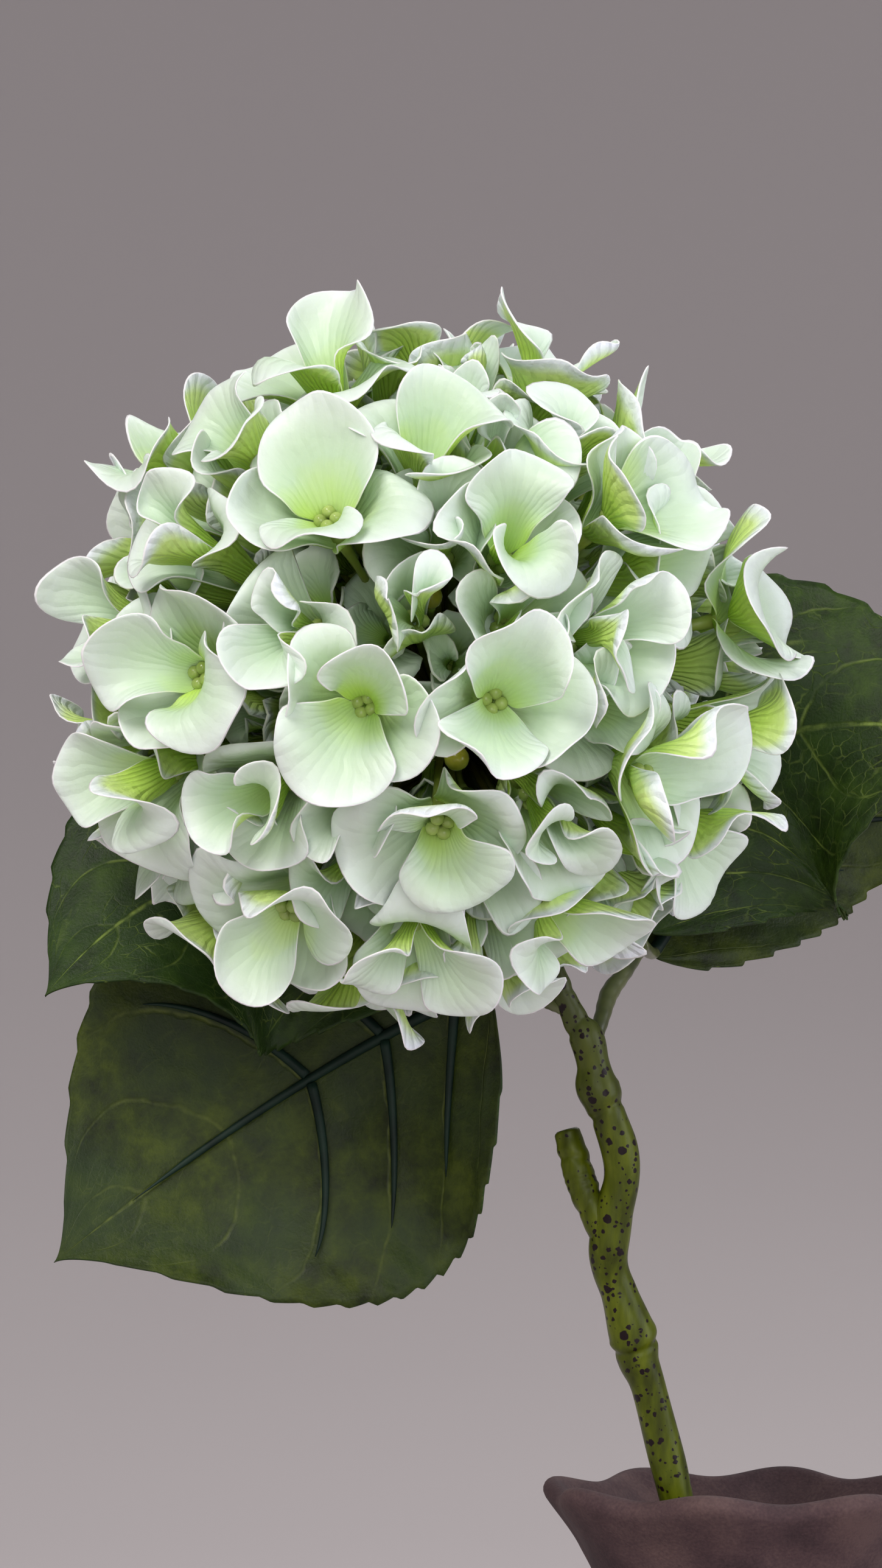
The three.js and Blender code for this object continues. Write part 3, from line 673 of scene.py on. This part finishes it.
# florets on the viewer's side: across and up from the head's centre, and the level
frontFlorets = [
    (1, 70, 0), (25, 61, 1), (49, 54, 0), (-21, 58, 1), (-1, 40, 0), (-36, 42, 0), (-52, 44, 1),
    (-67, 31, 0), (-20, 26, 1), (18, 22, 0), (39, 29, 1), (-47, 22, 0), (-62, 8, 0), (-27, 4, 0),
    (-47, -5, 1), (-13, -13, 1), (14, -12, 1), (37, 3, 0), (67, 12, 1), (69, -15, 0), (-71, -16, 0),
    (-56, -24, 1), (-34, -30, 0), (3, -37, 1), (26, -35, 0), (43, -25, 1), (59, -36, 0),
    (-29, -53, 1), (-2, -57, 1), (26, -54, 0), (-64, -40, 0), (-15, -72, 0), (-44, -60, 1),
    (14, -66, -1), (31, 46, -1), (-3, 7, -1),
]
buds = [(59, -9), (53, -11), (53, 1), (-14, 33), (-63, 17), (1, 14), (8, -28), (-36, -20)]


def towardsFace(x, z):
    # the unit direction from the head's centre to a place on the viewer's side
    y = -np.sqrt(max(bloomSpec["faceRadius"] ** 2 - x * x - z * z, 100))
    return unit(np.array([x, y, z]))


def placeFlorets(taken, budDirections):
    # directions, levels and sizes: the front florets, then a golden-angle lattice where there is room left,
    # then small low florets that fill the gaps between them, and a shell of the smallest round the stalks
    spec = bloomSpec
    directions = [towardsFace(x, z) for x, z, level in frontFlorets]
    levels = [level for x, z, level in frontFlorets]
    scales = [1.0] * len(directions)
    golden = pi * (3 - 5 ** 0.5)
    for layer in spec["layers"]:
        for i in range(layer["places"]):
            z = 1 - (2 * i + 1) / layer["places"]
            ring = (1 - z * z) ** 0.5
            direction = np.array([ring * np.cos(golden * i), ring * np.sin(golden * i), z])
            level = layer["levels"][i % len(layer["levels"])]
            height = spec["radius"] + min(level + 1, 0) * spec["levelStep"]
            toFloret = np.linalg.norm(np.array(directions) - direction, axis=1).min() * spec["radius"]
            toBud = np.linalg.norm(budDirections - direction, axis=1).min() * spec["radius"]
            toLeaf = np.linalg.norm(taken - np.array(spec["head"]) - direction * height, axis=1).min()
            crowded = toFloret < layer["spacing"] or toLeaf < spec["clearance"]
            underBud = toBud < spec["budRoom"] and level < -1
            if not crowded and not underBud:
                directions.append(direction)
                levels.append(level)
                scales.append(layer["scale"])
    return np.array(directions), np.array(levels), np.array(scales)


def petalTable(directions, levels, scales):
    # one row for each petal; a petal reaches to the plane between its floret and a neighbour, at share of the
    # distance over the cosine towards it, and a higher floret, or one of a higher layer, gets more room
    spec = bloomSpec
    centres = np.array(spec["head"]) + directions * (spec["radius"] + spec["levelStep"] * levels)[:, None]
    count = len(directions)
    i = np.arange(count)
    petal = np.arange(4)
    start = unit(np.cross((0, 0, 1), directions))
    other = np.cross(directions, start)
    turn = pi * (drawn(i, 1)[:, None] + petal / 2)
    outs = start[:, None] * np.cos(turn)[..., None] + other[:, None] * np.sin(turn)[..., None]
    away = centres[None] - centres[:, None]
    far = np.linalg.norm(away, axis=-1) > spec["neighbourRange"]
    away = away - directions[:, None] * np.sum(away * directions[:, None], axis=-1, keepdims=True)
    length = np.linalg.norm(away, axis=-1)
    facing = np.einsum("ijk,ilk->ijl", away, outs) / np.maximum(length, 1e-9)[..., None]
    rank = np.minimum(levels + 1, 0)
    mine, theirs = rank[:, None], rank[None]
    part = np.where(mine < theirs, spec["underShare"], 0.5)
    share = part * length + spec["levelShare"] * (levels[:, None] - levels[None]) * (mine == theirs)
    useless = (facing < 0.3) | (far | (mine > theirs))[..., None] | np.eye(count, dtype=bool)[..., None]
    room = np.where(useless, 1e9, spec["roomFactor"] * share[..., None] / np.maximum(facing, 0.3))
    most = (spec["openReach"] + np.maximum(levels, -1)) * scales
    reach = np.minimum(room.min(axis=1), most[:, None])
    reach = np.maximum(reach, spec["shortestReach"] * scales[:, None])
    size = 0.92 + 0.1 * drawn(i[:, None], 10 + petal)
    lengths = spec["petalLength"] * (0.95 + 0.1 * drawn(i, 2)) * scales
    middle = reach.mean(axis=1)
    opened = smoothStep(middle / scales, 14, 25)
    lift = spec["openLift"] * opened * np.sqrt(np.maximum(lengths ** 2 - middle ** 2, 1))
    florets = {
        "centre": centres, "axis": directions, "length": lengths, "lift": lift,
        "opened": opened, "scale": scales, "level": levels,
    }
    rows = {key: np.repeat(numbers, 4, axis=0) for key, numbers in florets.items()}
    rows |= {
        "out": outs.reshape(-1, 3),
        "reach": reach.ravel(),
        "before": np.roll(reach, 1, axis=1).ravel(),
        "after": np.roll(reach, -1, axis=1).ravel(),
        "size": size.ravel(),
        "inner": np.tile(petal % 2 == 0, count),
        "number": np.arange(4 * count),
    }
    rows["across"] = np.cross(rows["axis"], rows["out"])
    return rows


def petalShape(v):
    # an outline narrow at the claw and bluntly pointed at the end: 1 - |2 v^1.45 - 1|^2.3 to the power 0.57
    return np.maximum(1 - np.abs(2 * v ** 1.45 - 1) ** 2.3, 0) ** 0.57


def petalSurface(p, u, v):
    # u across and v outwards on a trumpet: its height follows the distance d from the floret's axis, rising
    # steeply and flattening outwards, and its reach changes smoothly from each petal to the next; an opened
    # floret is a flatter bowl that starts higher up
    spec = bloomSpec
    p = {key: numbers.reshape(len(numbers), 1, 1, *numbers.shape[1:]) for key, numbers in p.items()}
    nested = np.where(p["inner"], 0.5, -0.5) * spec["nesting"] * p["scale"]
    back = 5 * (p["reach"] / spec["openReach"]) ** 2
    arc = spec["throatRadius"] + p["reach"] * p["size"] * v ** 1.3 + back
    angle = u * np.minimum(spec["petalWidth"] / 2 * p["scale"] * petalShape(v) / arc, spec["widestAngle"])
    x = arc * np.cos(angle) - back
    y = arc * np.sin(angle)
    d = np.hypot(x, y)
    neighbour = np.where(y > 0, p["after"], p["before"])
    local = p["reach"] + (neighbour - p["reach"]) * (y / d) ** 2
    rise = np.sqrt(np.maximum(p["length"] ** 2 - local ** 2, 60 * p["scale"] ** 2))
    bend = np.minimum(0.3 + 0.75 * local / spec["petalLength"], 1) * (1 - 0.5 * p["opened"])
    throat = spec["throatRadius"] + np.where(p["inner"], 0, 0.7 * spec["nesting"]) * p["scale"]
    w = (np.maximum(d - throat, 0) / local) ** (0.77 + 0.28 * p["opened"])
    z = p["lift"] + (rise - p["lift"]) * (w * (1 + bend) - bend * w * w) + nested
    return p["centre"] + p["axis"] * z[..., None] + p["out"] * x[..., None] + p["across"] * y[..., None]


def petalNormals(p, u, v):
    # across the surface's slopes over u and over v, each from two points 0.06 apart
    step = 0.03
    u, v = np.clip(u, -0.9, 0.9), np.clip(v, 0.1, 0.9)
    overU = petalSurface(p, u + step, v) - petalSurface(p, u - step, v)
    overV = petalSurface(p, u, v + step) - petalSurface(p, u, v - step)
    return unit(np.cross(overV, overU))


def finePetals(p, gridSize):
    # a square grid pressed into a disc with its rings drawn towards the margin, whose points are then moved
    # along the trumpet's normal by a ruffle, a shallow bowl, a wave, dents and a tilt, and on some a fold
    spec = bloomSpec
    line = np.linspace(-1, 1, gridSize)
    line = np.sign(line) * np.abs(line) ** 0.8
    a, b = np.meshgrid(line, line)
    x = a * np.sqrt(1 - b * b / 2)
    y = b * np.sqrt(1 - a * a / 2)
    v = (y + 1) / 2
    u = np.clip(x / np.sqrt(np.maximum(1 - y * y, 1e-6)), -1, 1)
    points = petalSurface(p, u, v)
    normal = petalNormals(p, u, v)
    chance = [drawn(p["number"], k)[:, None, None] for k in range(20, 32)]
    phase = [6.3 * draw for draw in chance]
    scale = p["scale"][:, None, None]
    inner = p["inner"][:, None, None]
    r = np.hypot(x, y)
    turn = np.arctan2(x, y)
    outwards = smoothStep(v, 0.12, 0.6)
    beside = smoothStep(np.abs(x), 0.3, 0.8) * (1 - smoothStep(v, 0.7, 1.0) * 0.5)
    least, more = spec["ruffle"]
    waves = sum(height * np.sin(number * turn + phase[k]) for number, height, k in spec["ruffles"])
    ruffle = (least + more * chance[0]) * r ** 3 * outwards * waves
    bowl = (chance[5] - 0.55) * spec["bowl"] * x * x * smoothStep(v, 0.2, 0.7)
    fold = np.maximum(chance[6] - 0.7, 0) * spec["fold"] * np.abs(x) * smoothStep(v, 0.15, 0.5)
    wave = (chance[8] - 0.5) * spec["wave"] * np.sin(pi * (1.3 * v + 0.5 * x)) * smoothStep(v, 0.3, 0.8)
    tilt = chance[10] * np.where(inner, *spec["tilt"]) * smoothStep(v, 0.1, 1.2)
    dents = spec["dent"] * np.sin(6.5 * x + phase[9]) * np.sin(9 * v + phase[11]) * smoothStep(v, 0.2, 0.5)
    moved = ruffle + bowl + fold + wave + tilt + dents

    # the margin rolls: past rollFrom it turns up or back by an angle, and the point lies on that arc's chord
    strip = np.clip((r - spec["rollFrom"]) / (1 - spec["rollFrom"]), 0, 1)
    up, span = spec["roll"]
    roll = (up - span * chance[4]) * (0.5 + 0.5 * np.sin(2 * turn + phase[9])) * outwards * strip

    # an inner petal stays above the outer ones beside it, and an outer petal below
    towards = np.where(inner, 1, -1)
    moved = np.where(moved * towards < 0, moved * (1 - 0.75 * beside), moved)
    roll = np.where(roll * towards < 0, roll * (1 - 0.7 * beside), roll)
    chord = spec["rollWidth"] * strip * np.sinc(roll / 2 / pi)
    inwards = unit(petalSurface(p, np.zeros((1, 1)), np.full((1, 1), 0.55)) - points)
    drawnIn = spec["rollWidth"] * strip - chord * np.cos(roll / 2)
    lifted = moved + chord * np.sin(roll / 2)
    points = points + (normal * lifted[..., None] + inwards * drawnIn[..., None]) * scale[..., None]
    uv = np.broadcast_to(np.stack([x / 2 + 0.5, v], axis=-1), (*points.shape[:3], 2))
    edge = np.broadcast_to(r * outwards, points.shape[:3])
    tone = np.broadcast_to(chance[7], points.shape[:3])
    return points, uv, {"edge": edge, "tone": tone}


def latex(m, stops, veinDepth):
    # printed cloth under a soft latex coat: even and waxy, green in the throat and white at the margin, with
    # veins pressed in that fan out from the claw
    place = addNode(m, "TexCoord").outputs["Object"]
    flat = addNode(m, "UVMap", uv_map="surfaceMap")
    edge = addNode(m, "Attribute", attribute_name="edge").outputs["Fac"]
    tone = addNode(m, "Attribute", attribute_name="tone").outputs["Fac"]
    split = addNode(m, "SeparateXYZ", {0: flat})
    soft = addNode(m, "TexNoise", {"Vector": place, "Scale": perMetre(8), "Detail": 2})
    sharpEdge = addNode(m, "Math", {0: edge, 1: 3.0}, operation="POWER")
    whole = addNode(m, "Math", {0: split.outputs[1], 1: 0.5}, operation="MULTIPLY")
    for part, weight in ((sharpEdge, 0.5), (soft, 0.22), (tone, 0.2)):
        whole = addNode(m, "Math", {0: part, 1: weight, 2: whole}, operation="MULTIPLY_ADD")
    factor = addNode(m, "Math", {0: whole, 1: 0.2}, operation="SUBTRACT")
    colour = addNode(m, "ValToRGB", {"Fac": factor}, stops=stops)
    side = addNode(m, "Math", {0: split, 1: 0.5}, operation="SUBTRACT")
    spread = addNode(m, "Math", {0: split.outputs[1], 1: 0.35}, operation="ADD")
    fan = addNode(m, "Math", {0: side, 1: spread}, operation="DIVIDE")
    wavy = addNode(m, "Math", {0: soft, 1: 0.12, 2: fan}, operation="MULTIPLY_ADD")
    lines = addNode(m, "Math", {0: wavy, 1: 0.045}, operation="PINGPONG")
    ridge = addNode(m, "MapRange", {"Value": lines, "From Min": 0, "From Max": 0.03})
    crinkle = addNode(m, "TexNoise", {"Vector": place, "Scale": perMetre(3.2), "Detail": 3})
    relief = addNode(m, "Math", {0: crinkle, 1: 2.0, 2: ridge}, operation="MULTIPLY_ADD")
    bump = addNode(m, "Bump", {"Height": relief, "Strength": veinDepth, "Distance": 0.45 * mm})
    return {
        "Base Color": colour,
        "Roughness": 0.43,
        "Specular IOR Level": 0.4,
        "Subsurface Weight": 0.25,
        "Subsurface Radius": (1.0, 1.0, 0.7),
        "Subsurface Scale": 2.5 * mm,
        "Normal": bump,
    }


def stalkPlasticAndShade(m):
    # moulded polyethylene, satin: brownish olive with painted shade darkening it towards the stem, inside
    # the head, and tinted leaf green at the calyx
    place = addNode(m, "TexCoord").outputs["Object"]
    along = addNode(m, "Attribute", attribute_name="along").outputs["Fac"]
    clouds = addNode(m, "TexNoise", {"Vector": place, "Scale": perMetre(5), "Detail": 3})
    mixed = addNode(m, "Math", {0: clouds, 1: 0.3, 2: along}, operation="MULTIPLY_ADD")
    most = 1.3  # of the way along and the clouds together
    scaled = addNode(m, "Math", {0: mixed, 1: most}, operation="DIVIDE")
    # the ramp darkens towards the hub: painted shade deep inside the head
    stops = [(way / most, code) for way, code in bloomSpec["stalkTintsAndShade"]]
    colour = addNode(m, "ValToRGB", {"Fac": scaled}, stops=stops)
    return {"Base Color": colour, "Roughness": 0.4}


def makePetals(name, table, chosen, gridSize, smoothing, materials):
    # the chosen petals as one piece, with a wall whose rim is white, partly a painted highlight, and
    # subdivided if smoothing says so
    points, uv, values = finePetals({key: numbers[chosen] for key, numbers in table.items()}, gridSize)
    faces = gridFaces(*points.shape[:3])
    points, uv = points.reshape(-1, 3), uv.reshape(-1, 2)
    petals = makePiece("bloom_petals_" + name, points, [faces], materials, ["bloom"], uv, values)
    thicken(petals, bloomSpec["thickness"], rimMaterial=2)
    if smoothing:
        smooth = petals.modifiers.new("smoothing", "SUBSURF")
        smooth.levels = smoothing
        smooth.render_levels = smoothing


def balls(centres, axes, radius, halfLength, rows, sides, tip):
    # balls as short tubes: for each angle a from one tip to the other, a ring whose radius is radius x sin a
    # lies at -halfLength x cos a along the axis
    turn = np.linspace(tip, pi - tip, rows)
    paths = centres[:, None] + axes[:, None] * (-halfLength * np.cos(turn))[None, :, None]
    return tubes(paths, radius * np.sin(turn)[None] + 0 * paths[:, :, 0], sides)


def makeStalks(table, directions, budDirections):
    # quadratic Bezier curves that bow out from the top of the stem, and swell into a calyx under each floret
    spec = bloomSpec
    head = np.array(spec["head"])
    hub = np.array(stemSpec["stem"]["stations"][-1][:3])
    q = np.linspace(0, 1, 14)[None, :, None]
    feet = table["centre"][::4] + directions * (table["lift"][::4] - 1)[:, None]
    ends = np.concatenate([feet, head + budDirections * spec["radius"]])
    bends = head + np.concatenate([directions, budDirections]) * spec["rootRadius"]
    paths = (1 - q) ** 2 * hub + 2 * q * (1 - q) * bends[:, None] + q ** 2 * ends[:, None]
    calyx = spec["stalkRadius"] * smoothStep(q[0, :, 0], 0.86, 1.0)
    radii = spec["stalkRadius"] + calyx + 0 * paths[:, :, 0]
    sides = 8
    points, faces = tubes(paths, radii, sides)
    rings = np.repeat(np.broadcast_to(q[..., 0], radii.shape).ravel(), sides)
    along = np.concatenate([rings, np.zeros(len(paths)), np.ones(len(paths))])
    plastic = newMaterial("stalk_plastic", stalkPlasticAndShade)
    makePiece("bloom_stalks", points, faces, [plastic], ["bloom"], values={"along": along})


def makeBeadsAndBuds(table, directions, levels, budDirections):
    # four beads round the axis in each throat, and a closed bud on each bud's stalk
    spec = bloomSpec
    petal = np.arange(4)
    jitter = 0.6 * drawn(np.arange(len(directions))[:, None], 30 + petal)
    lifts = table["lift"].reshape(-1, 4) + spec["beadRise"] + jitter
    aside = table["out"].reshape(-1, 4, 3) * spec["beadSpread"]
    throats = table["centre"].reshape(-1, 4, 3) + directions[:, None] * lifts[..., None] + aside
    shown = levels > spec["deepLevel"]
    beadAxes = np.repeat(directions[shown], 4, axis=0)
    budPlaces = np.array(spec["head"]) + budDirections * (spec["radius"] + spec["budRise"])
    for kind, centres, axes, plastic in (
        ("bead", throats[shown].reshape(-1, 3), beadAxes, "bead_resin"),
        ("bud", budPlaces, budDirections, "bud_plastic"),
    ):
        points, faces = balls(centres, axes, **spec[kind])
        material = newMaterial(plastic, mouldedPlastic, *plastics[plastic])
        makePiece("bloom_" + kind + "s", points, faces, [material], ["bloom"])


def makeBloom():
    # the florets' petals, and their stalks, beads and buds
    spec = bloomSpec

    # points over the leaves and twigs, which florets and petals keep clear of
    s = np.arange(0.02, 1, 0.04)[:, None]
    u = np.arange(-1, 1.01, 0.125)[None]
    taken = [leafPoint(leaf, s, u, fine=False).reshape(-1, 3) for leaf in leaves.values()]
    taken += [np.array([station[:3] for station in twigSpec[side]["stations"]]) for side in ("left", "right")]
    taken = np.concatenate(taken)

    budDirections = np.array([towardsFace(x, z) for x, z in buds])
    directions, levels, scales = placeFlorets(taken, budDirections)
    table = petalTable(directions, levels, scales)
    print("florets", len(directions), [int((scales == layer["scale"]).sum()) for layer in spec["layers"]])

    # a petal is left out where one of six spots on its margins would touch a leaf, as in the CAD solid
    u = np.array([[-1, 0, 1, -1, 0, 1]])
    v = np.array([[0.5, 0.5, 0.5, 0.88, 1, 0.88]])
    spots = petalSurface(table, u, v).reshape(-1, 6, 3)
    gaps = np.linalg.norm(spots[:, :, None] - taken[None, None], axis=-1).min(axis=(1, 2))
    kept = gaps > spec["petalClearance"]
    print("petals", int(kept.sum()))

    looks = spec["petalFaces"].items()
    materials = [newMaterial("latex_petal_" + face, latex, *look) for face, look in looks]
    inner, outer = table["inner"], ~table["inner"]
    large = kept & (table["scale"] == 1)
    deep = kept & (table["level"] <= spec["deepLevel"])
    low = kept & ~large & ~deep
    for name, chosen, gridSize, smoothing in (
        ("inner", large & inner, 9, 1),
        ("outer", large & outer, 9, 1),
        ("low_inner", low & inner, 7, 1),
        ("low_outer", low & outer, 7, 1),
        ("deep", deep, 7, 0),
    ):
        makePetals(name, table, chosen, gridSize, smoothing, materials)
    makeStalks(table, directions, budDirections)
    makeBeadsAndBuds(table, directions, levels, budDirections)


# the studio: paper, lamps and camera

stageSpec = {
    "paper": "#c2babb",
    "floorRadius": 1100,
    "wallRadius": 5400,
    "wallHeight": 4600,
    "segments": 96,
    "skyColour": "#e4e5e7",
    "skyStrength": 0.55,
}

lamps = {
    "keyLamp": {"place": (-900, -1500, 1700), "size": 1000, "power": 33, "colour": "#fffaf4"},
    "frontLamp": {"place": (250, -2100, 500), "size": 1400, "power": 16, "colour": "#ffffff"},
    "fillLamp": {"place": (1600, -700, 600), "size": 1300, "power": 15, "colour": "#f4f6ff"},
    "backLamp": {"place": (700, 1300, 1900), "size": 1200, "power": 14, "colour": "#ffffff"},
}
lampTarget = (-60, -30, 300)

cameraSpec = {
    "place": (-70.84, -1040, 251.49), "pitch": 4.5, "lens": 102.758, "sensorWidth": 36,
    "farEnd": 50,  # metres, to reach past the far wall
}


def studioPaper(m):
    # matt coloured paper from a roll: even, with no shine
    return {"Base Color": linear(stageSpec["paper"]), "Roughness": 0.9}


def makeStage():
    # one sheet of matt studio paper turned about the vertical: a flat floor, a quarter circle up and a wall
    spec = stageSpec
    quarter = np.linspace(0, pi / 2, 16)[1:]
    bend = spec["wallRadius"] - spec["floorRadius"]
    floor = np.linspace(1, spec["floorRadius"], 12)
    curve = spec["floorRadius"] + bend * np.sin(quarter)
    radius = np.concatenate([floor, curve, [spec["wallRadius"]]])[:, None]
    height = np.concatenate([0 * floor, bend * (1 - np.cos(quarter)), [spec["wallHeight"]]])[:, None]
    angle = np.arange(spec["segments"]) * 2 * pi / spec["segments"]
    points = np.stack([radius * np.cos(angle), radius * np.sin(angle), height + 0 * angle], axis=-1)
    faces = gridFaces(1, len(radius), spec["segments"], wrap=True)[:, ::-1]
    paper = newMaterial("studio_paper", studioPaper)
    makePiece("studio_paper", points.reshape(-1, 3), [faces], [paper])


def makeLights():
    # square lamps that look at the object, and an even pale sky
    for name, spec in lamps.items():
        lamp = bpy.data.lights.new(name, "AREA")
        lamp.size = spec["size"] * mm
        lamp.energy = spec["power"]
        lamp.color = linear(spec["colour"])[:3]
        thing = bpy.data.objects.new(name, lamp)
        thing.visible_camera = False
        thing.location = Vector(spec["place"]) * mm
        sight = Vector(lampTarget) - Vector(spec["place"])
        thing.rotation_euler = sight.to_track_quat("-Z", "Y").to_euler()
        bpy.context.scene.collection.objects.link(thing)
    world = bpy.data.worlds.new("studio")
    world.use_nodes = True
    sky = world.node_tree.nodes["Background"].inputs
    sky["Color"].default_value = linear(stageSpec["skyColour"])
    sky["Strength"].default_value = stageSpec["skyStrength"]
    bpy.context.scene.world = world


def makeCamera():
    # the photograph's view, from about a metre away and slightly upwards
    spec = cameraSpec
    lens = bpy.data.cameras.new("camera")
    lens.lens = spec["lens"]
    lens.sensor_width = spec["sensorWidth"]
    lens.clip_end = spec["farEnd"]
    camera = bpy.data.objects.new("camera", lens)
    camera.location = np.array(spec["place"]) * mm
    camera.rotation_euler = (radians(90 + spec["pitch"]), 0, 0)
    bpy.context.scene.collection.objects.link(camera)
    bpy.context.scene.camera = camera


makeVase()
makeStem()
cloths = [newMaterial("printed_leaf_cloth_" + side, leafCloth, leafSpec[side]) for side in ("top", "under")]
for leafName in leaves:
    makeLeaf(leafName, cloths)
twigPlastics = [newMaterial(key, mouldedPlastic, *plastics[key]) for key in ("twig_plastic", "rib_plastic")]
for twigSide in ("left", "right"):
    makeTwig(twigSide, *twigPlastics)
makeBloom()
makeStage()
makeLights()
makeCamera()
bpy.context.scene.view_settings.view_transform = "Standard"
print("stage, lamps and camera set")
